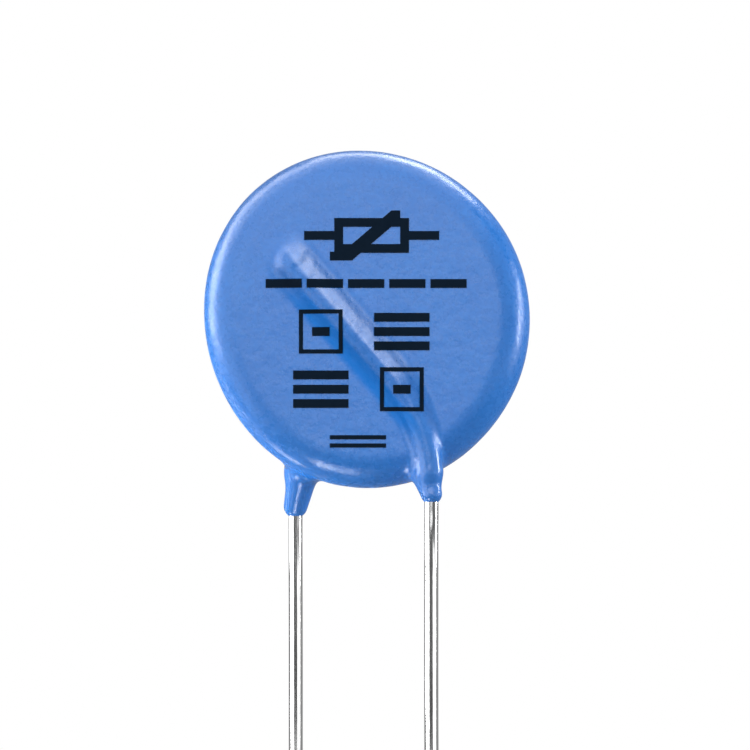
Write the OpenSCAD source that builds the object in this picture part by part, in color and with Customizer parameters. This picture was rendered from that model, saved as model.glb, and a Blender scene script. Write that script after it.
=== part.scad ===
// Leaded disc varistor, dipped in epoxy.
// Upright with the leads down: X runs across the leads, the front face looks to -Y.
// The origin is midway between the leads, on the seating plane where the coating ends.

/* [Ceramic disc] */
// Diameter of the zinc-oxide disc
disc_d = 10; // [9:0.1:11]
// Thickness of the zinc-oxide disc
disc_t = 2.1; // [1.6:0.1:3]
// How far the disc's centre lies to the right of the middle of the leads
disc_x = 0.12; // [-0.4:0.02:0.4]

/* [Electrodes] */
// Bare edge of ceramic left round each silver film
film_margin = 0.6; // [0.3:0.05:0.9]
// Thickness of each silver film
film_t = 0.02; // [0.01:0.005:0.05]

/* [Leads] */
// Diameter of the tinned wire
wire_d = 0.52; // [0.42:0.02:0.6]
// Distance between the two leads
lead_pitch = 5; // [4.4:0.1:5.6]
// Length of each lead below the seating plane
lead_below = 25; // [5:0.5:35]
// Slope of the bonded run, in degrees from the horizontal
lead_slant = 49; // [42:1:56]
// How far below the disc's centre the bonded run crosses the middle of the leads
run_drop = 0.86; // [0.5:0.02:1.2]
// Length of the bonded run past the middle of the leads
run_past = 3.8; // [3.2:0.1:4.3]
// Straight wire kept inside the coating above the end of each leg
straight_in = 0.3; // [0.2:0.02:0.4]

/* [Solder] */
// Width of the solder on the film
solder_w = 1.2; // [0.9:0.05:1.4]
// Height of the solder above the film
solder_h = 0.42; // [0.36:0.01:0.44]
// Solder under the wire
solder_under = 0.03; // [0.02:0.005:0.06]
// Length of wire that the solder holds
solder_run = 3.6; // [2.5:0.1:4]
// Solder beyond the end of the wire
solder_past = 0.25; // [0.15:0.05:0.35]

/* [Coating] */
// Coating over the silver film
coat_face = 0.4; // [0.3:0.01:0.6]
// Mean thickness of the coating round the rim of the disc
coat_rim = 1.09; // [0.9:0.01:1.3]
// Coating over the crown of the wire, from the disc's centre up
coat_wire = 0.36; // [0.3:0.01:0.45]
// Coating over the crown of the wire at the legs' roots
coat_root = 0.2; // [0.15:0.01:0.3]
// Radius of the rounded rim
rim_round = 1.25; // [0.9:0.05:1.35]
// How far the outline swells along its long axis
oval_swell = 0.135; // [0:0.005:0.2]
// Direction of the long axis, in degrees from +X
oval_dir = 110; // [90:1:130]
// How far the outline swells in three lobes
lobe_swell = 0.05; // [0:0.005:0.1]
// Direction of the first lobe, in degrees from +X
lobe_dir = 17; // [0:1:60]
// Width over which the ridges run out into the faces, from the disc's centre up
ridge_blend = 0.75; // [0.5:0.05:0.9]
// Width over which the ridges run out into the rim at the legs' roots
root_blend = 0.35; // [0.25:0.05:0.6]

/* [Legs] */
// Height of the disc's lowest coating above the seating plane
stand_off = 1.07; // [0.9:0.01:1.4]
// Height at which the front leg ends above the seating plane
front_end = 0.6; // [0.4:0.05:0.7]
// Diameter of the front leg near its end
front_leg_d = 0.78; // [0.72:0.01:0.84]
// Diameter of the rear leg near its end
rear_leg_d = 0.88; // [0.72:0.01:0.92]
// Diameter of a leg at its root
leg_root_d = 1.3; // [1.2:0.02:1.5]
// How far the root leans towards the middle of the leads
leg_lean = 0.46; // [0.3:0.01:0.5]
// How deep the root is sunk into the disc, above its lowest coating
leg_sink = 1.35; // [1.1:0.05:1.6]
// Distance of the root from the disc's middle plane
leg_root_y = 0.6; // [0.4:0.05:0.8]
// Width over which the front leg runs out into the rim
front_blend = 0.35; // [0.3:0.05:0.7]
// Width over which the rear leg runs out into the rim
rear_blend = 0.6; // [0.3:0.05:0.7]

/* [Marking] */
// Thickness of the ink
ink_t = 0.03; // [0.02:0.005:0.05]
// Stroke of the bold marks
ink_bold = 0.32; // [0.24:0.01:0.36]
// Stroke of the fine marks
ink_fine = 0.15; // [0.1:0.01:0.18]

/* [Fineness] */
// Spacing of the coating's net over the disc
net_wide = 0.46; // [0.42:0.01:0.6]
// Spacing of the coating's net round the legs
net_close = 0.22; // [0.2:0.01:0.26]

/* [Hidden] */
$fn = 64;

// The rear leg ends on the seating plane, and a ball closes each bend's upper end
rear_end = 0;
ball_proud = 0.002;

coat_r = disc_d / 2 + coat_rim;
disc_z = stand_off + coat_r + oval_swell * cos(2 * (-90 - oval_dir))
         + lobe_swell * cos(3 * (-90 - lobe_dir));
film_y = disc_t / 2 + film_t;
wire_y = film_y + solder_under + wire_d / 2;
coat_y = film_y + coat_face;

lead_turn = 90 - lead_slant;
knee_x = lead_pitch / 2;
knee_z = disc_z - run_drop - knee_x * tan(lead_slant);
run_reach = knee_x / cos(lead_slant) + run_past;
run_dir = [-cos(lead_slant), sin(lead_slant)];

leg_root = [knee_x - leg_lean, -leg_root_y, stand_off + leg_sink];
ridge_low = stand_off + leg_sink / 2;

// The lead's shape: where the bend ends, its radius and where the slanting run starts
function bend_low(end_z) = end_z + straight_in;
function bend_len(end_z) = knee_z - bend_low(end_z);
function bend_r(end_z) = bend_len(end_z) / tan(lead_turn / 2);
function along_run(s) = [knee_x, knee_z] + s * run_dir;

// Distances in the plane of the wire
function flat(p) = [p.x, p.z];
function to_segment(q, a, b) =
    let (v = b - a, t = (q - a) * v / (v * v))
    norm(q - a - min(max(t, 0), 1) * v);
function to_bend(q, end_z) =
    let (r = bend_r(end_z),
         centre = [knee_x - r, bend_low(end_z)],
         low = asin((ridge_low - centre.y) / r),
         seen = atan2(q.y - centre.y, q.x - centre.x),
         held = min(max(seen, low), lead_turn))
    norm(q - centre - r * [cos(held), sin(held)]);

// Joins two forms with a soft valley of width k
function soft_join(a, b, k) = min(a, b) - pow(max(k - abs(a - b), 0), 2) / (4 * k);

// Each form is negative inside, zero on the skin and positive outside
function disc_form(p) =
    let (q = flat(p) - [disc_x, disc_z],
         dir = atan2(q.y, q.x),
         edge = coat_r + oval_swell * cos(2 * (dir - oval_dir))
                + lobe_swell * cos(3 * (dir - lobe_dir)),
         out = norm(q) - (edge - rim_round),
         up = abs(p.y) - (coat_y - rim_round))
    norm([max(out, 0), max(up, 0)]) + min(max(out, up), 0) - rim_round;
function upward(p, at_root, at_centre) =
    at_root + (at_centre - at_root) * min(max((p.z - ridge_low) / (disc_z - ridge_low), 0), 1);
function ridge_form(p, end_z) =
    let (q = flat(p),
         run = to_segment(q, along_run(bend_len(end_z)), along_run(run_reach)),
         cover = upward(p, coat_root, coat_wire))
    norm([min(run, to_bend(q, end_z)), p.y + wire_y]) - (wire_d / 2 + cover);
function leg_form(p, end_z, end_r) =
    let (rise = sqrt(pow(end_r, 2) - pow(wire_d / 2, 2)),
         low = [knee_x, -wire_y, end_z + rise],
         v = leg_root - low,
         t = min(max((p - low) * v / (v * v), 0), 1))
    norm(p - low - t * v) - (end_r + t * (leg_root_d / 2 - end_r));
function with_lead(d, p, end_z, end_r, blend) =
    let (ridge = soft_join(d, ridge_form(p, end_z), upward(p, root_blend, ridge_blend)))
    soft_join(ridge, leg_form(p, end_z, end_r), blend);
function coating_form(p) =
    let (front = with_lead(disc_form(p), p, front_end, front_leg_d / 2, front_blend))
    with_lead(front, [-p.x, -p.y, p.z], rear_end, rear_leg_d / 2, rear_blend);

// Net lines along one axis, from stretches of start, end and widest spacing
function steps(a, b, step) =
    let (n = ceil((b - a) / step))
    [for (i = [0:n - 1]) a + (b - a) * i / n];
function net_lines(parts) =
    concat([for (s = parts) each steps(s[0], s[1], s[2])], [parts[len(parts) - 1][1]]);
net_side = coat_r + oval_swell + lobe_swell + abs(disc_x) + 2 * net_wide;
// One net line lies just before the ridges' crests and the next behind them, so none grazes a crest
crest_out = 0.05;
crest_in = 0.12;
ridge_out = wire_y + wire_d / 2 + max(coat_wire, coat_root) + crest_out;
ridge_in = wire_y + wire_d / 2 + min(coat_wire, coat_root) - crest_in;
ridge_cell = ridge_out - ridge_in;
net_front = ridge_out + 2 * net_close;
net_low = -2 * net_close;
net_top = disc_z + coat_r + oval_swell + lobe_swell + 2 * net_wide;
leg_in = knee_x - leg_lean - leg_root_d / 2 - net_close;
leg_out = knee_x + leg_root_d / 2;
net_x = net_lines([[-net_side, -leg_out, net_wide], [-leg_out, -leg_in, net_close],
                   [-leg_in, leg_in, net_wide], [leg_in, leg_out, net_close],
                   [leg_out, net_side, net_wide]]);
net_y = net_lines([[-net_front, -ridge_out, net_close], [-ridge_out, -ridge_in, ridge_cell],
                   [-ridge_in, ridge_in, net_close],
                   [ridge_in, ridge_out, ridge_cell], [ridge_out, net_front, net_close]]);
net_z = net_lines([[net_low, leg_root.z, net_close], [leg_root.z, net_top, net_wide]]);

// Two steps at right angles along the net lines, every way round
net_turns = [for (a = [-1, 1]) for (b = [-1, 1])
                 each [[[a, 0, 0], [0, b, 0]], [[a, 0, 0], [0, 0, b]], [[0, a, 0], [0, 0, b]]]];
// How deep a filled crossing of the net is taken to lie
fill_depth = 0.01;

// The coating's outer form as a net: a point in each cell that the skin passes through,
// and two triangles round each net line that crosses the skin. Where the air would pass
// diagonally between two coated crossings, it is filled, so the skin never touches itself
module coating_skin() {
    nx = len(net_x);
    ny = len(net_y);
    nz = len(net_z);
    form = [for (z = net_z) [for (y = net_y) [for (x = net_x) coating_form([x, y, z])]]];
    function coated(p) = form[p.z][p.y][p.x] < 0;
    function pinched(p) =
        len([for (t = net_turns)
                 if (coated(p + t[0]) && coated(p + t[1]) && !coated(p + t[0] + t[1])) 1]) > 0;
    val = [for (k = [0:nz - 1]) [for (j = [0:ny - 1]) [for (i = [0:nx - 1])
              let (v = form[k][j][i])
              v >= 0 && v < net_close && pinched([i, j, k]) ? -fill_depth : v]]];
    function inside(i, j, k) = val[k][j][i] < 0;
    function cell(i, j, k) = i + (nx - 1) * (j + (ny - 1) * k);
    corners = [[0, 0, 0], [1, 0, 0], [0, 1, 0], [1, 1, 0], [0, 0, 1], [1, 0, 1], [0, 1, 1], [1, 1, 1]];
    edges = [[0, 1], [2, 3], [4, 5], [6, 7], [0, 2], [1, 3], [4, 6], [5, 7],
             [0, 4], [1, 5], [2, 6], [3, 7]];
    function crossed(i, j, k) =
        let (v = [val[k][j][i], val[k][j][i + 1], val[k][j + 1][i], val[k][j + 1][i + 1],
                  val[k + 1][j][i], val[k + 1][j][i + 1], val[k + 1][j + 1][i],
                  val[k + 1][j + 1][i + 1]])
        min(v) < 0 && max(v) >= 0;
    function cell_point(i, j, k) =
        let (at = [for (c = corners) [net_x[i + c.x], net_y[j + c.y], net_z[k + c.z]]],
             v = [for (c = corners) val[k + c.z][j + c.y][i + c.x]],
             cuts = [for (e = edges) if ((v[e[0]] < 0) != (v[e[1]] < 0))
                         at[e[0]] + (at[e[1]] - at[e[0]]) * v[e[0]] / (v[e[0]] - v[e[1]])])
        [for (c = [0:2]) [for (q = cuts) q[c]] * [for (q = cuts) 1] / len(cuts)];
    used = [for (k = [0:nz - 2]) for (j = [0:ny - 2]) for (i = [0:nx - 2]) crossed(i, j, k) ? 1 : 0];
    index = [for (c = 0, n = 0; c < len(used); n = n + used[c], c = c + 1) n];
    skin_points = [for (k = [0:nz - 2]) for (j = [0:ny - 2]) for (i = [0:nx - 2])
                       if (used[cell(i, j, k)] == 1) cell_point(i, j, k)];
    function turned(q, flip) = flip ? [q[3], q[2], q[1], q[0]] : q;
    quads = [for (k = [1:nz - 2]) for (j = [1:ny - 2]) for (i = [1:nx - 2])
        let (here = inside(i, j, k))
        each [
            if (here != inside(i + 1, j, k)) turned([cell(i, j - 1, k - 1), cell(i, j - 1, k),
                cell(i, j, k), cell(i, j, k - 1)], !here),
            if (here != inside(i, j + 1, k)) turned([cell(i - 1, j, k - 1), cell(i, j, k - 1),
                cell(i, j, k), cell(i - 1, j, k)], !here),
            if (here != inside(i, j, k + 1)) turned([cell(i - 1, j - 1, k), cell(i - 1, j, k),
                cell(i, j, k), cell(i, j - 1, k)], !here)
        ]];
    function span(q, a, b) = norm(skin_points[q[a]] - skin_points[q[b]]);
    triangles = [for (c = quads)
        let (q = [for (n = c) index[n]])
        each span(q, 0, 2) < span(q, 1, 3)
            ? [[q[0], q[1], q[2]], [q[0], q[2], q[3]]]
            : [[q[1], q[2], q[3]], [q[1], q[3], q[0]]]];
    polyhedron(points = skin_points, faces = triangles, convexity = 6);
}

module on_rear() {
    rotate([0, 0, 180]) children();
}

// A lead in front, whose coated leg ends at end_z, with a ball where the bend meets the run
module lead(end_z) {
    low = bend_low(end_z);
    r = bend_r(end_z);
    start = along_run(bend_len(end_z));
    translate([knee_x, -wire_y, -lead_below]) cylinder(d = wire_d, h = lead_below + low);
    translate([knee_x - r, -wire_y, low]) rotate([90, 0, 0])
        rotate_extrude(angle = lead_turn) translate([r, 0]) circle(d = wire_d);
    translate([start.x, -wire_y, start.y]) rotate([0, -lead_turn, 0])
        cylinder(d = wire_d, h = run_reach - bend_len(end_z));
    translate([start.x, -wire_y, start.y]) sphere(d = wire_d + 2 * ball_proud);
}

// The solder in front, a long low dome on the film that the wire lies in
module solder(end_z) {
    dome_r = (pow(solder_w / 2, 2) + pow(solder_h, 2)) / (2 * solder_h);
    far = along_run(run_reach + solder_past - solder_w / 2);
    held = solder_run + solder_past - solder_w;
    difference() {
        translate([far.x, -film_y, far.y]) rotate([0, -lead_turn, 0]) intersection() {
            translate([0, dome_r - solder_h, -held - solder_w])
                cylinder(r = dome_r, h = held + 2 * solder_w);
            rotate([90, 0, 0]) linear_extrude(solder_h) {
                circle(d = solder_w);
                translate([0, -held]) circle(d = solder_w);
                translate([-solder_w / 2, -held]) square([solder_w, held]);
            }
        }
        lead(end_z);
    }
}

// A silver film in front
module electrode() {
    translate([disc_x, -disc_t / 2, disc_z]) rotate([90, 0, 0])
        cylinder(d = disc_d - 2 * film_margin, h = film_t);
}

module ceramic_disc() {
    color("#4a4a46")
        translate([disc_x, disc_t / 2, disc_z]) rotate([90, 0, 0]) cylinder(d = disc_d, h = disc_t);
}

module front_electrode() {
    color("#c9c8c2") electrode();
}

module rear_electrode() {
    color("#c9c8c2") translate([0, disc_t + film_t, 0]) electrode();
}

module front_solder() {
    color("#a8abad") solder(front_end);
}

module rear_solder() {
    color("#a8abad") on_rear() solder(rear_end);
}

module front_lead() {
    color("#d4d6d8") lead(front_end);
}

module rear_lead() {
    color("#d4d6d8") on_rear() lead(rear_end);
}

module coating() {
    color("#3b78c9") difference() {
        coating_skin();
        ceramic_disc();
        front_electrode();
        rear_electrode();
        front_solder();
        rear_solder();
        front_lead();
        rear_lead();
    }
}

// Generic marks in ink: each place is from the middle of the face, each size is a width and a height
symbol_at = [0.2, 3];
symbol_size = [2.4, 0.95];
symbol_tail = 1.1;
symbol_rise = 0.75;
dash_row = 1.25;
dash_pitch = 1.5;
dash_len = 1;
tile_at = [[-1.65, -0.5], [1.3, -2.6]];
tile_size = [1.45, 1.45];
stack_at = [[1.3, -0.5], [-1.65, -2.6]];
stack_len = 1.7;
stack_pitch = 0.52;
foot_at = [-0.3, -4.5];
foot_len = 1.9;

module stroke(a, b, w) {
    hull() {
        translate(a) square(w, center = true);
        translate(b) square(w, center = true);
    }
}

module frame_mark(size, w) {
    x = size.x / 2;
    y = size.y / 2;
    stroke([-x, -y], [x, -y], w);
    stroke([x, -y], [x, y], w);
    stroke([x, y], [-x, y], w);
    stroke([-x, y], [-x, -y], w);
}

// The circuit symbol of a voltage-dependent resistor
module resistor_symbol() {
    x = symbol_size.x / 2;
    slope = [x - ink_bold, symbol_rise];
    frame_mark(symbol_size, ink_bold);
    stroke([-x - symbol_tail, 0], [-x, 0], ink_bold);
    stroke([x, 0], [x + symbol_tail, 0], ink_bold);
    stroke(-slope, slope, ink_bold);
    stroke(-slope, -slope - [ink_bold * 1.5, 0], ink_bold);
}

module dash(length, w) {
    stroke([-length / 2, 0], [length / 2, 0], w);
}

module ink_plan() {
    translate(symbol_at) resistor_symbol();
    for (n = [-2:2]) translate([n * dash_pitch, dash_row]) dash(dash_len, ink_bold);
    for (at = tile_at) translate(at) {
        frame_mark(tile_size, ink_fine);
        dash(ink_bold, ink_bold);
    }
    for (at = stack_at) for (n = [-1:1]) translate(at + [0, n * stack_pitch]) dash(stack_len, ink_bold);
    for (n = [-1, 1]) translate(foot_at + [0, n * ink_fine]) dash(foot_len, ink_fine);
}

module marking() {
    color("#0b1c2c") difference() {
        intersection() {
            translate([0, -ink_t, 0]) coating_skin();
            translate([disc_x, 0, disc_z]) rotate([90, 0, 0])
                linear_extrude(net_front) ink_plan();
        }
        coating_skin();
    }
}

coating();
marking();
front_lead();
rear_lead();
ceramic_disc();
front_electrode();
rear_electrode();
front_solder();
rear_solder();
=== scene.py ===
import itertools
import math

import bmesh
import bpy
import numpy as np
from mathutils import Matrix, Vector
from mathutils.bvhtree import BVHTree


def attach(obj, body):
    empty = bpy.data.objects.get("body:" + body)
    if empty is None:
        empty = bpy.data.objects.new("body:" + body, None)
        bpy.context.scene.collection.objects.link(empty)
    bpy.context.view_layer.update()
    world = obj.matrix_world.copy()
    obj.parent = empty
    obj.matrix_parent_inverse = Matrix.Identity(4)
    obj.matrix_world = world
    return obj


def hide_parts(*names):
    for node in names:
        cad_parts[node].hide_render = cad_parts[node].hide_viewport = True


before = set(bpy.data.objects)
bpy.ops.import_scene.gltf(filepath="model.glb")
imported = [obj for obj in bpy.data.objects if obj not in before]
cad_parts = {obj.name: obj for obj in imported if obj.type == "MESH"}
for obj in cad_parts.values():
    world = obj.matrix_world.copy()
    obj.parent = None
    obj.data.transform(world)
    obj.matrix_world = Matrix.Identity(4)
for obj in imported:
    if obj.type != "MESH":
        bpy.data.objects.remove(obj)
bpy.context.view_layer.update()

MM = 0.001

# The part's sizes in mm, by the names that its source gives them
# Ceramic disc: diameter, thickness and how far it lies to the right of the leads' middle
DISC_D, DISC_T, DISC_X = 10, 2.1, 0.12
# Silver film, solder under the wire, and the wire itself
FILM_T, SOLDER_UNDER, WIRE_D = 0.02, 0.03, 0.52
# Leads: distance apart, length below the seat and straight wire inside the coating
LEAD_PITCH, LEAD_BELOW, STRAIGHT_IN = 5, 25, 0.3
# Bonded run: slope in degrees, drop below the disc's centre and length past the middle
LEAD_SLANT, RUN_DROP, RUN_PAST = 49, 0.86, 3.8
# Coating over the film, round the disc's rim, on the wire's crown and on it at the legs' roots
COAT_FACE, COAT_RIM, COAT_WIRE, COAT_ROOT = 0.4, 1.09, 0.36, 0.2
# Radius of the rounded rim, and the outline's two swellings with their directions in degrees
RIM_ROUND = 1.25
OVAL_SWELL, OVAL_DIR = 0.135, 110
LOBE_SWELL, LOBE_DIR = 0.05, 17
# Heights above the seat: the disc's lowest coating and the ends of the front and rear legs
STAND_OFF, FRONT_END, REAR_END = 1.07, 0.6, 0
# Diameters of the legs near their ends and at their roots
FRONT_LEG_D, REAR_LEG_D, LEG_ROOT_D = 0.78, 0.88, 1.3
# A leg's root: its lean to the middle, its depth in the disc and its distance from the middle plane
LEG_LEAN, LEG_SINK, LEG_ROOT_Y = 0.46, 1.35, 0.6
# Width of the soft join between the rear leg and the rim
REAR_BLEND = 0.6

# Widths of the soft joins that differ here: the ridges on the disc, the same at the legs' roots,
# and the front leg. The ridges' are narrower than the source's, because this net is finer.
RIDGE_BLEND, ROOT_BLEND, FRONT_BLEND = 0.5, 0.22, 0.42

# The coating's net in mm: its spacing, its reach to either side of the disc's middle, above the
# disc's middle and below the seat, and the rounds in which its points are drawn onto the form
NET_STEP = 0.085
NET_SIDE, NET_DEPTH, NET_ABOVE, NET_BELOW = 6.6, 2.3, 6.5, 0.2
NET_ROUNDS = 3


def cos(degrees):
    return np.cos(np.radians(degrees))


def sin(degrees):
    return np.sin(np.radians(degrees))


def edge_r(direction):
    """Radius of the coated disc's outline in a direction, in degrees from +X."""
    return (DISC_D / 2 + COAT_RIM + OVAL_SWELL * cos(2 * (direction - OVAL_DIR))
            + LOBE_SWELL * cos(3 * (direction - LOBE_DIR)))


DISC_Z = STAND_OFF + edge_r(-90)
FILM_Y = DISC_T / 2 + FILM_T
WIRE_Y = FILM_Y + SOLDER_UNDER + WIRE_D / 2
COAT_Y = FILM_Y + COAT_FACE
KNEE_X = LEAD_PITCH / 2
KNEE_Z = DISC_Z - RUN_DROP - KNEE_X * math.tan(math.radians(LEAD_SLANT))
LEAD_TURN = 90 - LEAD_SLANT
RUN_REACH = KNEE_X / cos(LEAD_SLANT) + RUN_PAST
RUN_DIR = np.array([-cos(LEAD_SLANT), sin(LEAD_SLANT)])
LEG_ROOT = np.array([KNEE_X - LEG_LEAN, -LEG_ROOT_Y, STAND_OFF + LEG_SINK])
# Height at which the ridge's form ends, inside the leg's
RIDGE_LOW = STAND_OFF + LEG_SINK / 2


def bend_low(end_z):
    """Height at which the bend of a lead starts, over a leg that ends at end_z."""
    return end_z + STRAIGHT_IN


def bend_len(end_z):
    """Length from the knee to either end of the bend."""
    return KNEE_Z - bend_low(end_z)


def bend_r(end_z):
    return bend_len(end_z) / math.tan(math.radians(LEAD_TURN / 2))


def bend_centre(end_z):
    return np.array([KNEE_X - bend_r(end_z), bend_low(end_z)])


def along_run(s):
    """A point of the bonded run's middle line, s mm past the knee."""
    return np.array([KNEE_X, KNEE_Z]) + s * RUN_DIR


# The coating's form: negative inside, zero on the skin and positive outside
def soft_join(a, b, width):
    """The union of two forms, with a soft valley of that width between them."""
    return np.minimum(a, b) - np.maximum(width - np.abs(a - b), 0) ** 2 / (4 * width)


def share(p, a, b):
    """How far along the line from a to b each point lies, from 0 to 1."""
    v = b - a
    return np.clip((p - a) @ v / (v @ v), 0, 1)


def to_segment(p, a, b):
    return np.linalg.norm(p - a - share(p, a, b)[:, None] * (b - a), axis=1)


def to_wire(q, end_z):
    """Distance to the front wire's middle line in its own plane, above the leg."""
    r = bend_r(end_z)
    from_centre = q - bend_centre(end_z)
    low = math.degrees(math.asin((RIDGE_LOW - bend_low(end_z)) / r))
    seen = np.degrees(np.arctan2(from_centre[:, 1], from_centre[:, 0]))
    held = np.clip(seen, low, LEAD_TURN)
    bend = np.linalg.norm(from_centre - r * np.stack([cos(held), sin(held)], 1), axis=1)
    run = to_segment(q, along_run(bend_len(end_z)), along_run(RUN_REACH))
    return np.minimum(bend, run)


def disc_form(p):
    """The coated disc, with its rounded rim."""
    q = p[:, [0, 2]] - (DISC_X, DISC_Z)
    edge = edge_r(np.degrees(np.arctan2(q[:, 1], q[:, 0])))
    out = np.linalg.norm(q, axis=1) - (edge - RIM_ROUND)
    up = np.abs(p[:, 1]) - (COAT_Y - RIM_ROUND)
    return (np.hypot(np.maximum(out, 0), np.maximum(up, 0))
            + np.minimum(np.maximum(out, up), 0) - RIM_ROUND)


def upward(p, at_root, at_centre):
    """A size that goes from one value at the legs' roots to another at the disc's centre."""
    height = np.clip((p[:, 2] - RIDGE_LOW) / (DISC_Z - RIDGE_LOW), 0, 1)
    return at_root + (at_centre - at_root) * height


def ridge_form(p, end_z):
    """The coating round the front wire."""
    cover = upward(p, COAT_ROOT, COAT_WIRE)
    return np.hypot(to_wire(p[:, [0, 2]], end_z), p[:, 1] + WIRE_Y) - (WIRE_D / 2 + cover)


def leg_form(p, end_z, end_r):
    """The front leg: a cone with round ends, from the wire up to its root in the disc."""
    rise = math.sqrt(end_r ** 2 - (WIRE_D / 2) ** 2)
    low = np.array([KNEE_X, -WIRE_Y, end_z + rise])
    widening = share(p, low, LEG_ROOT) * (LEG_ROOT_D / 2 - end_r)
    return to_segment(p, low, LEG_ROOT) - (end_r + widening)


def with_lead(d, p, end_z, end_r, blend):
    """The form d with the ridge and the leg of the front lead joined to it."""
    d = soft_join(d, ridge_form(p, end_z), upward(p, ROOT_BLEND, RIDGE_BLEND))
    return soft_join(d, leg_form(p, end_z, end_r), blend)


def on_rear(p):
    """The points turned half round the upright axis, which takes the front lead to the rear."""
    return p * (-1, -1, 1)


def coating_form(p):
    """The whole coating: the disc, and the ridge and leg of each lead."""
    front = with_lead(disc_form(p), p, FRONT_END, FRONT_LEG_D / 2, FRONT_BLEND)
    return with_lead(front, on_rear(p), REAR_END, REAR_LEG_D / 2, REAR_BLEND)


def slope(form, p, reach=0.001):
    """The form's gradient at the points, from differences over that reach in mm."""
    steps = np.eye(3) * reach
    return np.stack([form(p + s) - form(p - s) for s in steps], 1) / (2 * reach)


def surface_net(form, low, high, step):
    """Points on the form's skin and the quads between them, on a cubic net.

    Each cell that the skin cuts gets one point, the mean of the cuts on its edges, and each
    edge of the net that is cut gets a quad between the four cells round it.
    """
    axes = [np.arange(a, b + step, step) for a, b in zip(low, high)]
    grid = np.stack(np.meshgrid(*axes, indexing="ij"), -1)
    shape = grid.shape[:3]
    value = form(grid.reshape(-1, 3)).reshape(shape)
    cells = tuple(n - 1 for n in shape)
    count = np.zeros(cells)
    total = np.zeros(cells + (3,))
    crossings = []
    for axis in range(3):
        first = [slice(None)] * 3
        last = [slice(None)] * 3
        first[axis], last[axis] = slice(None, -1), slice(1, None)
        a, b = value[tuple(first)], value[tuple(last)]
        cut = (a < 0) != (b < 0)
        change = np.where(cut, a - b, 1)
        at = grid[tuple(first)].copy()
        at[..., axis] += step * np.where(cut, a / change, 0)
        others = [n for n in range(3) if n != axis]
        for shift in itertools.product((0, 1), repeat=2):
            near = [slice(None)] * 3
            for n, s in zip(others, shift):
                near[n] = slice(s, cells[n] + s)
            count += cut[tuple(near)]
            total += at[tuple(near)] * cut[tuple(near)][..., None]
        crossings.append((axis, others, cut, a < 0))
    used = count > 0
    index = np.full(cells, -1)
    index[used] = np.arange(used.sum())
    quads = []
    for axis, others, cut, inward in crossings:
        where = np.argwhere(cut)
        ring = []
        for shift in ((0, 0), (1, 0), (1, 1), (0, 1)):
            cell = where.copy()
            for n, s in zip(others, shift):
                cell[:, n] -= s
            ring.append(index[tuple(cell.T)])
        ring = np.stack(ring, 1)
        flip = inward[cut] == (axis == 1)
        ring[flip] = ring[flip][:, ::-1]
        quads.append(ring)
    return total[used] / count[used][:, None], np.concatenate(quads)


# Draws that the noise picks from, and the factors that spread its cells over them
DRAWS = 4096
SPREAD = (73856093, 19349663, 83492791)

# Layers of unevenness: height and lump size in mm, and the seed
SKIN_LAYERS = [(0.016, 2.6, 1), (0.0045, 0.55, 2), (0.0025, 0.24, 3)]
FRONT_CREST_LAYERS = [(0.012, 0.42, 4), (0.006, 0.2, 6)]
REAR_CREST_LAYERS = [(0.012, 0.42, 5), (0.006, 0.2, 7)]
# Distance in mm from the wire's middle line over which the crests' unevenness fades
CREST_REACH = 0.45

# Pits on the ridge's upper end: x, z, radius and depth in mm
PITS = [(-2.70, 9.48, 0.13, 0.05), (-2.06, 9.36, 0.16, 0.035), (-2.38, 9.14, 0.10, 0.03)]


def lumps(p, size, seed):
    """Smooth noise from -1 to 1 at points in mm, with lumps of about that size."""
    table = np.random.default_rng(seed).uniform(-1, 1, DRAWS)
    cell = np.floor(p / size).astype(np.int64)
    t = p / size - cell
    t = t * t * (3 - 2 * t)
    total = np.zeros(len(p))
    for corner in itertools.product((0, 1), repeat=3):
        x, y, z = (cell + corner).T * np.array(SPREAD)[:, None]
        total += np.prod(np.where(corner, t, 1 - t), axis=1) * table[(x ^ y ^ z) % DRAWS]
    return total


def layered(p, layers):
    """The heights of several layers of lumps, added up."""
    return sum(height * lumps(p, size, seed) for height, size, seed in layers)


def crest(p, end_z):
    """1 on the crown of the front ridge, falling to 0 on the face beside it."""
    return np.exp(-(to_wire(p[:, [0, 2]], end_z) / CREST_REACH) ** 2) * (p[:, 1] < -COAT_Y)


def relief(p):
    """How far the real skin stands proud of the form at points on it, in mm."""
    d = layered(p, SKIN_LAYERS)
    d += crest(p, FRONT_END) * layered(p, FRONT_CREST_LAYERS)
    d += crest(on_rear(p), REAR_END) * layered(p, REAR_CREST_LAYERS)
    for x, z, radius, depth in PITS:
        away = np.hypot(p[:, 0] - x, p[:, 2] - z) / radius
        d -= depth * np.exp(-away ** 2) * (p[:, 1] < 0)
    return d


def add_object(name, data):
    """A new object in the scene that holds that mesh, lamp or camera."""
    piece = bpy.data.objects.new(name, data)
    bpy.context.scene.collection.objects.link(piece)
    return piece


def stand_in(name, mesh, replaced):
    """A piece with that mesh that stands for a CAD node."""
    piece = add_object(name, mesh)
    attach(piece, "root")
    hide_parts(replaced)
    return piece


def smooth_piece(name, points, faces, replaced):
    """A smooth piece from points in mm."""
    mesh = bpy.data.meshes.new(name)
    mesh.from_pydata((points * MM).tolist(), [], faces)
    mesh.validate()
    mesh.shade_smooth()
    return stand_in(name, mesh, replaced)


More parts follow.
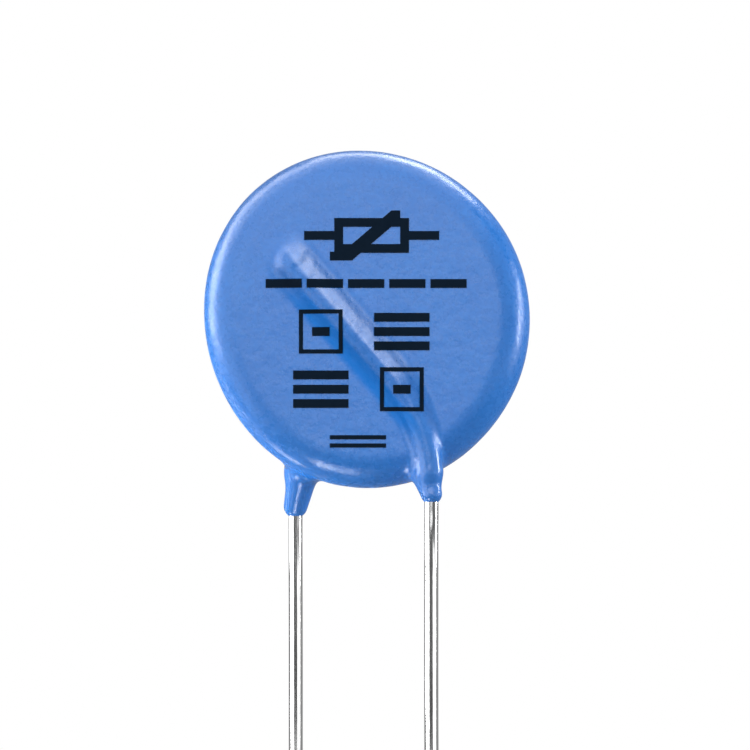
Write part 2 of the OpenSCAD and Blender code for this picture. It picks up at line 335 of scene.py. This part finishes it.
def dipped_coating():
    """The epoxy skin: a net on the coating's form, drawn onto it and then given its relief."""
    low = (DISC_X - NET_SIDE, -NET_DEPTH, -NET_BELOW)
    high = (DISC_X + NET_SIDE, NET_DEPTH, DISC_Z + NET_ABOVE)
    points, quads = surface_net(coating_form, low, high, NET_STEP)
    for _ in range(NET_ROUNDS):
        g = slope(coating_form, points)
        points = points - (coating_form(points) / (g * g).sum(1))[:, None] * g
    g = slope(coating_form, points)
    normal = g / np.linalg.norm(g, axis=1)[:, None]
    points = points + relief(points)[:, None] * normal
    return smooth_piece("dipped_coating", points, quads.tolist(), "coating")


# The wire's mesh: points round it, and rings along its straight, its bend and its bonded run
WIRE_SIDES = 48
STRAIGHT_RINGS, BEND_RINGS, RUN_RINGS = 90, 25, 14
# Its sheared end: rise per mm across, and the rounded edge's insets with their heights in mm
SHEAR = 0.12
SHEARED_EDGE = [(0.055, 0), (0.02, 0.012), (0.004, 0.034)]
# How far a drawn wire wanders to either side in mm, and the lengths over which it does
WANDER = 0.008
WANDER_ALONG_X, WANDER_ALONG_Y = 5.5, 4.5


def lead_line(end_z):
    """Points along the front lead's middle line in its plane, from its cut end up."""
    r = bend_r(end_z)
    straight = [(KNEE_X, z) for z in np.linspace(-LEAD_BELOW, bend_low(end_z), STRAIGHT_RINGS)]
    bend = [bend_centre(end_z) + (r * cos(a), r * sin(a))
            for a in np.linspace(0, LEAD_TURN, BEND_RINGS)]
    run = [along_run(s) for s in np.linspace(bend_len(end_z), RUN_REACH, RUN_RINGS)]
    return np.array(straight + bend[1:] + run[1:])


def drawn_lead(name, replaced, end_z, turn, seed):
    """A round wire along its line, slightly uneven as drawn wire is, sheared at its free end."""
    line = lead_line(end_z)
    ahead = np.gradient(line, axis=0)
    ahead /= np.linalg.norm(ahead, axis=1)[:, None]
    side = np.stack([ahead[:, 1], -ahead[:, 0]], 1)
    around = np.linspace(0, 2 * math.pi, WIRE_SIDES, endpoint=False)
    rings = []

    def ring(q, s, radius, tilt=0.0):
        out = radius * np.cos(around)
        rings.append(np.stack([q[0] + out * s[0], -WIRE_Y + radius * np.sin(around),
                               q[1] + out * s[1] + tilt * out], 1))

    for inset, height in SHEARED_EDGE:
        ring(line[0] + (0, height), side[0], WIRE_D / 2 - inset, SHEAR)
    for q, s in zip(line[1:], side[1:]):
        ring(q, s, WIRE_D / 2)
    points = np.concatenate(rings)
    heights = points * (0, 0, 1)
    wander = WANDER * np.stack([lumps(heights, WANDER_ALONG_X, seed),
                                lumps(heights, WANDER_ALONG_Y, seed + 1),
                                np.zeros(len(points))], 1)
    below_seat = points[:, 2:3] < 0
    points = points + wander * below_seat
    faces = [tuple(range(WIRE_SIDES))[::-1]]
    for n in range(len(rings) - 1):
        for k in range(WIRE_SIDES):
            a, b = n * WIRE_SIDES + k, n * WIRE_SIDES + (k + 1) % WIRE_SIDES
            faces.append((a, b, b + WIRE_SIDES, a + WIRE_SIDES))
    faces.append(tuple(range((len(rings) - 1) * WIRE_SIDES, len(rings) * WIRE_SIDES)))
    return smooth_piece(name, turn(points), faces, replaced)


# The ink's mesh: longest edge in mm, rounds of splitting, and in metres the distance at which
# points are joined and where the rays to the skin start in front of the part
INK_EDGE, SPLITS = 0.11, 6
JOINED = 1e-7
RAY_Y = -0.01


def tree_of(mesh):
    """A mesh's faces, sorted for casting rays at them."""
    return BVHTree.FromPolygons([v.co for v in mesh.vertices], [p.vertices for p in mesh.polygons])


def face_depth(tree, x, z):
    """Y of the front skin at x and z, in metres."""
    return tree.ray_cast(Vector((x, RAY_Y, z)), Vector((0, 1, 0)))[0].y


def printed_marks(coating):
    """The CAD's ink, split finely and laid on the detailed skin."""
    bm = bmesh.new()
    bm.from_mesh(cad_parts["marking"].data)
    bmesh.ops.remove_doubles(bm, verts=bm.verts, dist=JOINED)
    for _ in range(SPLITS):
        bmesh.ops.triangulate(bm, faces=bm.faces)
        split = [e for e in bm.edges if e.calc_length() > INK_EDGE * MM]
        if not split:
            break
        bmesh.ops.subdivide_edges(bm, edges=split, cuts=1)
    cad_skin, skin = tree_of(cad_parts["coating"].data), tree_of(coating.data)
    for v in bm.verts:
        was, now = (face_depth(t, v.co.x, v.co.z) for t in (cad_skin, skin))
        v.co.y += now - was
    mesh = bpy.data.meshes.new("printed_marks")
    bm.to_mesh(mesh)
    bm.free()
    return stand_in("printed_marks", mesh, "marking")


# Materials
WHITE, BLACK = (1, 1, 1, 1), (0, 0, 0, 1)


class Nodes:
    """A material's node tree, built by short calls."""

    def __init__(self, name):
        self.material = bpy.data.materials.new(name)
        self.material.use_nodes = True
        self.tree = self.material.node_tree
        self.shader = self.tree.nodes["Principled BSDF"]

    def link(self, value, socket):
        """Joins another node's output to the socket, or writes a plain value on it."""
        if isinstance(value, bpy.types.NodeSocket):
            self.tree.links.new(value, socket)
        else:
            socket.default_value = value

    def add(self, kind, inputs=(), **settings):
        """A new node of that kind, with values for its inputs and its settings."""
        node = self.tree.nodes.new("ShaderNode" + kind)
        for key, value in settings.items():
            setattr(node, key, value)
        for key, value in dict(inputs).items():
            self.link(value, node.inputs[key])
        return node

    def place(self, stretch=(1, 1, 1)):
        """The point on the object, in mm, stretched along the axes."""
        at = self.add("TexCoord").outputs["Object"]
        scale = [s / MM for s in stretch]
        return self.add("Mapping", {"Vector": at, "Scale": scale}).outputs["Vector"]

    def noise(self, scale, detail=2, rough=0.5, stretch=(1, 1, 1)):
        """Noise from 0 to 1 with about that many lumps to a millimetre."""
        return self.add("TexNoise", {"Vector": self.place(stretch), "Scale": scale,
                                     "Detail": detail, "Roughness": rough}).outputs["Fac"]

    def ramp(self, value, low, high, to_low=0.0, to_high=1.0):
        """A smooth step from to_low, where the value is low, to to_high, where it is high."""
        return self.add("MapRange", {"Value": value, "From Min": low, "From Max": high,
                                     "To Min": to_low, "To Max": to_high},
                        interpolation_type="SMOOTHSTEP").outputs["Result"]

    def mix(self, factor, a, b):
        """The colour a where the factor is 0 and b where it is 1."""
        node = self.add("Mix", data_type="RGBA")
        self.link(factor, node.inputs[0])
        self.link((*a, 1) if isinstance(a, tuple) else a, node.inputs[6])
        self.link((*b, 1) if isinstance(b, tuple) else b, node.inputs[7])
        return node.outputs[2]

    def math(self, operation, *values):
        node = self.add("Math", operation=operation)
        for n, value in enumerate(values):
            self.link(value, node.inputs[n])
        return node.outputs[0]

    def times(self, value, *others):
        for other in others:
            value = self.math("MULTIPLY", value, other)
        return value

    def band(self, value, start, full, fade, end):
        """1 between full and fade, falling to 0 at start and end."""
        return self.times(self.ramp(value, start, full), self.ramp(value, fade, end, 1, 0))

    def bump(self, height, strength, distance, normal=None):
        """The normal of a skin raised by up to that distance in mm."""
        inputs = {"Height": height, "Strength": strength, "Distance": distance * MM}
        if normal is not None:
            inputs["Normal"] = normal
        return self.add("Bump", inputs).outputs["Normal"]

    def finish(self, **sockets):
        """The material, with these values on the shader's own sockets."""
        for key, value in sockets.items():
            self.link(value, self.shader.inputs[key.replace("_", " ")])
        return self.material


# Two bands beside the bonded wire where the resin differs, in mm off its middle line towards the
# upper right and along it from the knee: where each starts, is full, starts to fade and ends.
# The second band is duller, and holds painted light: a brighter, deeper blue on the ridge's
# lower-left flank
DRAWN_OFF, DRAWN_ALONG = (-0.06, 0.14, 0.5, 0.88), (1.4, 2.4, 7.4, 8.6)
POOL_PAINTED_OFF, POOL_PAINTED_ALONG = (-1.15, -0.85, -0.5, -0.34), (-0.5, 0.8, 6, 7.6)
# Stretches in mm over which the front face turns into the rim, and the legs end upwards and
# start outwards
FACE_Y, LEGS_Z, LEGS_X = (-1.35, -1.2), (1.9, 3.6), (0.9, 1.6)
# The resin's colours, the last of them painted light on the ridge's lower-left flank, and its
# index of refraction with the changes that make it duller or glossier
RESIN_DARK, RESIN_LIGHT = (0.012, 0.163, 0.58), (0.016, 0.19, 0.64)
RESIN_CLOUD, RESIN_PAINTED_LIGHT = (0.016, 0.14, 0.52), (0.012, 0.2, 0.7)
RESIN_IOR, DRAWN_MORE, LEGS_MORE, POOLED_LESS = 1.52, 0.85, 0.15, 0.3


def epoxy():
    """Blue resin, drawn thin and glossy on one side of the wire and duller where it pools on the
    other, with painted light there: a brighter, deeper blue on the ridge's lower-left flank.
    """
    m = Nodes("blue_epoxy")
    at = m.place()
    knee = (KNEE_X, 0, KNEE_Z)
    from_knee = m.add("VectorMath", {0: at, 1: knee}, operation="SUBTRACT").outputs[0]
    off, along = (m.add("VectorMath", {0: from_knee, 1: direction},
                        operation="DOT_PRODUCT").outputs["Value"]
                  for direction in ((RUN_DIR[1], 0, -RUN_DIR[0]), (RUN_DIR[0], 0, RUN_DIR[1])))
    parts = m.add("SeparateXYZ", {0: at}).outputs
    front = m.ramp(parts["Y"], *FACE_Y, 1, 0)
    patchy = m.ramp(m.noise(2.2, 3), 0.3, 0.6, 0.75, 1)
    drawn = m.times(m.band(off, *DRAWN_OFF), m.band(along, *DRAWN_ALONG), patchy, front)
    pooled_painted_light = m.times(m.band(off, *POOL_PAINTED_OFF), m.band(along, *POOL_PAINTED_ALONG), front)
    legs = m.times(m.ramp(parts["Z"], *LEGS_Z, 1, 0),
                   m.ramp(m.math("ABSOLUTE", parts["X"]), *LEGS_X))
    grain = m.ramp(m.noise(7, 2), 0.3, 0.7)
    cloud = m.ramp(m.noise(0.5, 3), 0.35, 0.68)
    colour = m.mix(grain, RESIN_DARK, RESIN_LIGHT)
    colour = m.mix(m.times(cloud, 0.25), colour, RESIN_CLOUD)
    # Painted light: a brighter, deeper blue laid on the ridge's lower-left flank
    colour = m.mix(pooled_painted_light, colour, RESIN_PAINTED_LIGHT)
    smudges = m.ramp(m.noise(3.5, 3), 0.3, 0.7, 0.25, 0.32)
    rough = m.math("SUBTRACT", smudges, m.times(legs, 0.05))
    more = m.math("MAXIMUM", m.times(drawn, DRAWN_MORE), m.times(legs, LEGS_MORE))
    change = m.math("SUBTRACT", more, m.times(pooled_painted_light, POOLED_LESS))
    peel = m.bump(m.noise(2.6, 2), 1, 0.013)
    fine = m.bump(m.noise(8, 2, 0.6), 1, 0.007, peel)
    return m.finish(Base_Color=colour, Roughness=rough, Normal=fine,
                    IOR=m.math("ADD", change, RESIN_IOR))


def ink():
    """Matt blue-black ink that shines far less than the resin."""
    m = Nodes("printing_ink")
    colour = m.mix(m.noise(6, 2), (0.0005, 0.006, 0.015), (0.0015, 0.009, 0.022))
    rough = m.ramp(m.noise(9, 2), 0.3, 0.7, 0.5, 0.62)
    return m.finish(Base_Color=colour, Roughness=rough, Specular_IOR_Level=0.04,
                    Normal=m.bump(m.noise(12, 2), 0.2, 0.01))


def tinned_wire():
    """Bright tin with faint streaks drawn out along the wire."""
    m = Nodes("tinned_wire")
    streak = m.noise(14, 3, 0.6, (1, 1, 0.03))
    colour = m.mix(m.noise(1.5, 3), (0.74, 0.745, 0.75), (0.84, 0.84, 0.835))
    rough = m.ramp(streak, 0.3, 0.7, 0.05, 0.1)
    bump = m.bump(streak, 0.25, 0.006)
    return m.finish(Base_Color=colour, Roughness=rough, Normal=bump, Metallic=1.0)


def fired_silver():
    m = Nodes("fired_silver")
    colour = m.mix(m.noise(5, 3), (0.55, 0.55, 0.52), (0.68, 0.68, 0.64))
    rough = m.ramp(m.noise(8, 3), 0.3, 0.7, 0.35, 0.5)
    return m.finish(Base_Color=colour, Roughness=rough, Normal=m.bump(m.noise(12, 3), 0.3, 0.01),
                    Metallic=1.0)


def solder():
    m = Nodes("solder")
    colour = m.mix(m.noise(3, 3), (0.36, 0.37, 0.38), (0.5, 0.51, 0.52))
    rough = m.ramp(m.noise(5, 3), 0.3, 0.7, 0.22, 0.38)
    return m.finish(Base_Color=colour, Roughness=rough, Normal=m.bump(m.noise(4, 3), 0.3, 0.02),
                    Metallic=1.0)


def zinc_oxide():
    m = Nodes("zinc_oxide")
    colour = m.mix(m.noise(12, 4), (0.05, 0.05, 0.042), (0.1, 0.1, 0.085))
    rough = m.ramp(m.noise(9, 3), 0.3, 0.7, 0.6, 0.8)
    return m.finish(Base_Color=colour, Roughness=rough, Normal=m.bump(m.noise(14, 3), 0.4, 0.01))


def dress(objects, material):
    """Gives the objects that material alone."""
    for o in objects:
        o.data.materials.clear()
        o.data.materials.append(material)


coating = dipped_coating()
marks = printed_marks(coating)
front = drawn_lead("front_tinned_lead", "front_lead", FRONT_END, lambda p: p, 11)
rear = drawn_lead("rear_tinned_lead", "rear_lead", REAR_END, on_rear, 21)
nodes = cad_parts
dress([coating], epoxy())
dress([marks], ink())
dress([front, rear], tinned_wire())
dress([nodes["front_electrode"], nodes["rear_electrode"]], fired_silver())
dress([nodes["front_solder"], nodes["rear_solder"]], solder())
dress([nodes["ceramic_disc"]], zinc_oxide())


# Studio: places in metres, and brightness as a level, where 1 is white
# Its middle: over the origin, at the height of the disc's centre
MIDDLE = Vector((0, 0, DISC_Z * MM))
# Even light from the room
ROOM_LIGHT = 0.5
# The floor: height, size, colour as it is seen, and colour in which it lights the object
FLOOR_Z, FLOOR_SIZE = -LEAD_BELOW * MM, 3
FLOOR_COLOUR, FLOOR_BOUNCE = (0.8, 0.8, 0.8), (0.3, 0.3, 0.3)
# Distances from its middle between which the floor runs out into white
FLOOR_FADE = (0.035, 0.085)
# Heights of the cards that lie on the floor, and foot and top of those that stand at its sides
RING_Z, FRONT_FLOOR_Z, FRONT_DARK_Z = -0.0248, -0.0247, -0.0246
CARD_FOOT, CARD_TOP = -0.0245, -0.0055
# Corners of the standing cards on the floor plan
FRONT_LEFT, FRONT_RIGHT = (-0.05, -0.139), (0.045, -0.139)
LEFT_NEAR, LEFT, LEFT_FAR = (-0.058, -0.09), (-0.107, -0.008), (-0.04, 0.1)
RIGHT_NEAR, RIGHT, RIGHT_FAR = (0.047, -0.101), (0.107, -0.015), (0.04, 0.1)
# Radius of the dark room, of the hole in its floor card, and of the sphere of most other cards
ROOM_R, HOLE_R, SKY_R = 0.3, 0.0005, 0.14
# What the camera sees of the part's middle plane, in mm: width and middle. Then its lens in mm
VIEW_W, VIEW_X, VIEW_Z = 27.58, 0.443, 5.219
LENS = 200

# Cards on spheres round the disc: degrees round the Y axis from +X, degrees from -Y, level
# and radius. The greater its degrees from -Y, the nearer to the disc's edge a card shows.
SKY_CARDS = [
    ("upper_card", (35, 180), (20, 74), 2.1, SKY_R),
    ("lower_left_card", (180, 196), (26, 76), 2.3, 0.045),
    ("low_corner_card", (196, 222), (40, 76), 2.3, 0.045),
    ("low_front_card", (-110, -97), (62, 76), 11, 0.03),
    ("right_soft_card", (-5, 35), (18, 80), 0.8, SKY_R),
    ("left_card", (150, 190), (86, 111), 10, SKY_R),
    ("left_low_strip", (189, 194), (80, 96), 11, 0.09),
    ("left_high_card", (138, 150), (92, 120), 6.8, SKY_R),
    ("upper_left_card", (108, 138), (92, 117), 6.2, SKY_R),
    ("left_soft_card", (108, 197), (70, 86), 4, SKY_R),
    ("top_soft_card", (50, 108), (74, 106), 2.4, SKY_R),
    ("corner_card", (48, 62), (100, 120), 13, SKY_R),
    ("top_right_card", (62, 80), (110, 130), 11.5, SKY_R),
    ("top_card", (80, 108), (110, 130), 7, SKY_R),
    ("right_card", (4, 14), (95, 101), 26, SKY_R),
    ("right_low_strip", (-10, 4), (83, 90), 32, SKY_R),
    ("low_left_strip", (-130, -117), (95, 103), 8, 0.036),
]


def seen_directly(tree):
    """1 for camera, glossy and transmission rays, which all show the white background."""
    path = tree.nodes.new("ShaderNodeLightPath")
    value = path.outputs["Is Camera Ray"]
    for name in ("Is Glossy Ray", "Is Transmission Ray"):
        node = tree.nodes.new("ShaderNodeMath")
        node.operation = "MAXIMUM"
        tree.links.new(value, node.inputs[0])
        tree.links.new(path.outputs[name], node.inputs[1])
        value = node.outputs[0]
    return value


def white_world():
    """White where it is seen, and a weaker even light on the object."""
    world = bpy.data.worlds.new("studio")
    bpy.context.scene.world = world
    world.use_nodes = True
    tree = world.node_tree
    level = tree.nodes.new("ShaderNodeMapRange")
    tree.links.new(seen_directly(tree), level.inputs["Value"])
    level.inputs["To Min"].default_value = ROOM_LIGHT
    shade = tree.nodes["Background"]
    shade.inputs["Color"].default_value = WHITE
    tree.links.new(level.outputs["Result"], shade.inputs["Strength"])


def floor():
    """A pale floor at the leads' ends, which takes their shadow and runs out into white."""
    half = FLOOR_SIZE / 2
    mesh = bpy.data.meshes.new("floor")
    mesh.from_pydata([(-half, -half, 0), (half, -half, 0), (half, half, 0), (-half, half, 0)],
                     [], [(0, 1, 2, 3)])
    piece = add_object("floor", mesh)
    piece.location = (0, 0, FLOOR_Z)
    m = Nodes("pale_floor")
    at = m.add("TexCoord").outputs["Object"]
    away = m.add("VectorMath", {0: at}, operation="LENGTH").outputs["Value"]
    far = m.ramp(away, *FLOOR_FADE)
    white = m.add("Emission", {"Color": WHITE}).outputs[0]
    bounce = m.add("LightPath").outputs["Is Diffuse Ray"]
    matt = m.finish(Base_Color=m.mix(bounce, FLOOR_COLOUR, FLOOR_BOUNCE), Roughness=0.8)
    mixed = m.add("MixShader", {0: m.times(far, seen_directly(m.tree)),
                                1: m.shader.outputs[0], 2: white}).outputs[0]
    m.tree.links.new(mixed, m.tree.nodes["Material Output"].inputs["Surface"])
    mesh.materials.append(matt)


def card(name, points, faces, level):
    """A card that gives light only in reflections, with that brightness."""
    mesh = bpy.data.meshes.new(name)
    mesh.from_pydata(points, [], faces)
    piece = add_object(name, mesh)
    m = Nodes(name)
    mesh.materials.append(m.finish(Base_Color=BLACK, Roughness=0.9, Specular_IOR_Level=0,
                                   Emission_Color=WHITE, Emission_Strength=level))
    piece.visible_camera = piece.visible_shadow = piece.visible_diffuse = False
    piece.visible_transmission = False


def floor_ring(name, outer, inner, height, level, sides=96):
    """A card lying round the upright axis."""
    around = [2 * math.pi * n / sides for n in range(sides)]
    points = [(r * math.cos(a), r * math.sin(a), height) for r in (outer, inner) for a in around]
    faces = [(n, (n + 1) % sides, sides + (n + 1) % sides, sides + n) for n in range(sides)]
    card(name, points, faces, level)


def flat_card(name, across, ahead, height, level):
    """A card lying between two values of X and two of Y."""
    (left, right), (near, far) = across, ahead
    points = [(left, near, height), (right, near, height), (right, far, height), (left, far, height)]
    card(name, points, [(0, 1, 2, 3)], level)


def screen(name, start, end, low, high, level):
    """An upright card between two places on the floor plan."""
    points = [(*start, low), (*end, low), (*end, high), (*start, high)]
    card(name, points, [(0, 1, 2, 3)], level)


def sky(name, directions, angles, level, radius, step=6):
    """A card on a sphere round the disc, with a point every few degrees, step at the most."""
    turns = np.linspace(*directions, 2 + int(abs(directions[1] - directions[0]) / step))
    opens = np.linspace(*angles, 2 + int(abs(angles[1] - angles[0]) / step))
    points = [(radius * sin(p) * cos(d), -radius * cos(p), radius * sin(p) * sin(d) + MIDDLE.z)
              for p in opens for d in turns]
    wide = len(turns)
    faces = [(n + k, n + k + 1, n + k + 1 + wide, n + k + wide)
             for n in range(0, (len(opens) - 1) * wide, wide) for k in range(wide - 1)]
    card(name, points, faces, level)


def dark_room():
    """Dim all round, so that only the cards in it show in the gloss."""
    sky("shell", (0, 360), (0, 100), 0.13, ROOM_R)
    sky("rear_shell", (0, 360), (100, 180), 0.4, ROOM_R)
    floor_ring("floor_card", ROOM_R, HOLE_R, RING_Z, 0.35)


def cards():
    """What shows in the gloss: white and dark stripes in the leads, highlights in the resin."""
    flat_card("front_dark_card", (-0.2, 0.2), (-0.3, -0.16), FRONT_DARK_Z, 0.1)
    screen("front_card", FRONT_LEFT, FRONT_RIGHT, -0.0005, 0.057, 2.8)
    screen("front_low_card", FRONT_LEFT, FRONT_RIGHT, -0.004, -0.0005, 1.3)
    flat_card("front_floor_card", (-0.06, 0.05), (-0.16, -0.09), FRONT_FLOOR_Z, 1.5)
    for place in SKY_CARDS:
        sky(*place)
    screen("left_low_card", LEFT_NEAR, LEFT, CARD_FOOT, CARD_TOP, 4)
    screen("right_low_card", RIGHT_NEAR, RIGHT, CARD_FOOT, CARD_TOP, 1.5)
    screen("left_edge_card", LEFT, LEFT_FAR, CARD_FOOT, CARD_TOP, 0.3)
    screen("right_edge_card", RIGHT, RIGHT_FAR, CARD_FOOT, CARD_TOP, 0.3)


def aim(azimuth, elevation, distance):
    """A place seen from the disc: degrees to the right of the camera and up, and metres."""
    flat = distance * cos(elevation)
    return MIDDLE + Vector((flat * sin(azimuth), -flat * cos(azimuth), distance * sin(elevation)))


def hang(name, light, place):
    """Puts a lamp in its place, unseen by the camera and in the gloss."""
    piece = add_object(name, light)
    piece.location = place
    piece.visible_camera = piece.visible_glossy = False
    return piece


def lamp(name, place, size, level):
    """A soft lamp turned to the disc, whose level is the brightness of its own face."""
    light = bpy.data.lights.new(name, "AREA")
    light.shape = "RECTANGLE"
    light.size, light.size_y = size
    light.energy = level * math.pi * size[0] * size[1]
    piece = hang(name, light, place)
    piece.rotation_mode = "QUATERNION"
    piece.rotation_quaternion = (MIDDLE - place).to_track_quat("-Z", "Y")


def bulb(name, place, radius, level):
    """A round lamp that gives that brightness to a white surface facing it at the disc's middle."""
    light = bpy.data.lights.new(name, "POINT")
    light.shadow_soft_size = radius
    away = Vector(place) - MIDDLE
    light.energy = 4 * math.pi ** 2 * level * away.length_squared
    hang(name, light, place)


def lamps():
    """One large lamp before the disc, and small ones at its lower left and right edges."""
    lamp("front_lamp", aim(-12, 20, 0.5), (0.52, 0.62), 1.9)
    bulb("left_fill", (-0.046, 0.024, -0.0165), 0.012, 1.1)
    bulb("low_left_fill", (-0.03, 0.004, -0.0215), 0.003, 0.25)
    lamp("right_fill", aim(104, 6, 0.2), (0.06, 0.1), 17)


def camera():
    """A long lens looking along +Y, with the disc where the photograph has it."""
    data = bpy.data.cameras.new("camera")
    data.lens = LENS
    data.clip_start, data.clip_end = 0.01, 10
    piece = add_object("camera", data)
    piece.location = (VIEW_X * MM, -VIEW_W * MM * LENS / data.sensor_width, VIEW_Z * MM)
    piece.rotation_euler = (math.radians(90), 0, 0)
    bpy.context.scene.camera = piece


white_world()
floor()
dark_room()
cards()
lamps()
camera()
bpy.context.scene.view_settings.view_transform = "Standard"
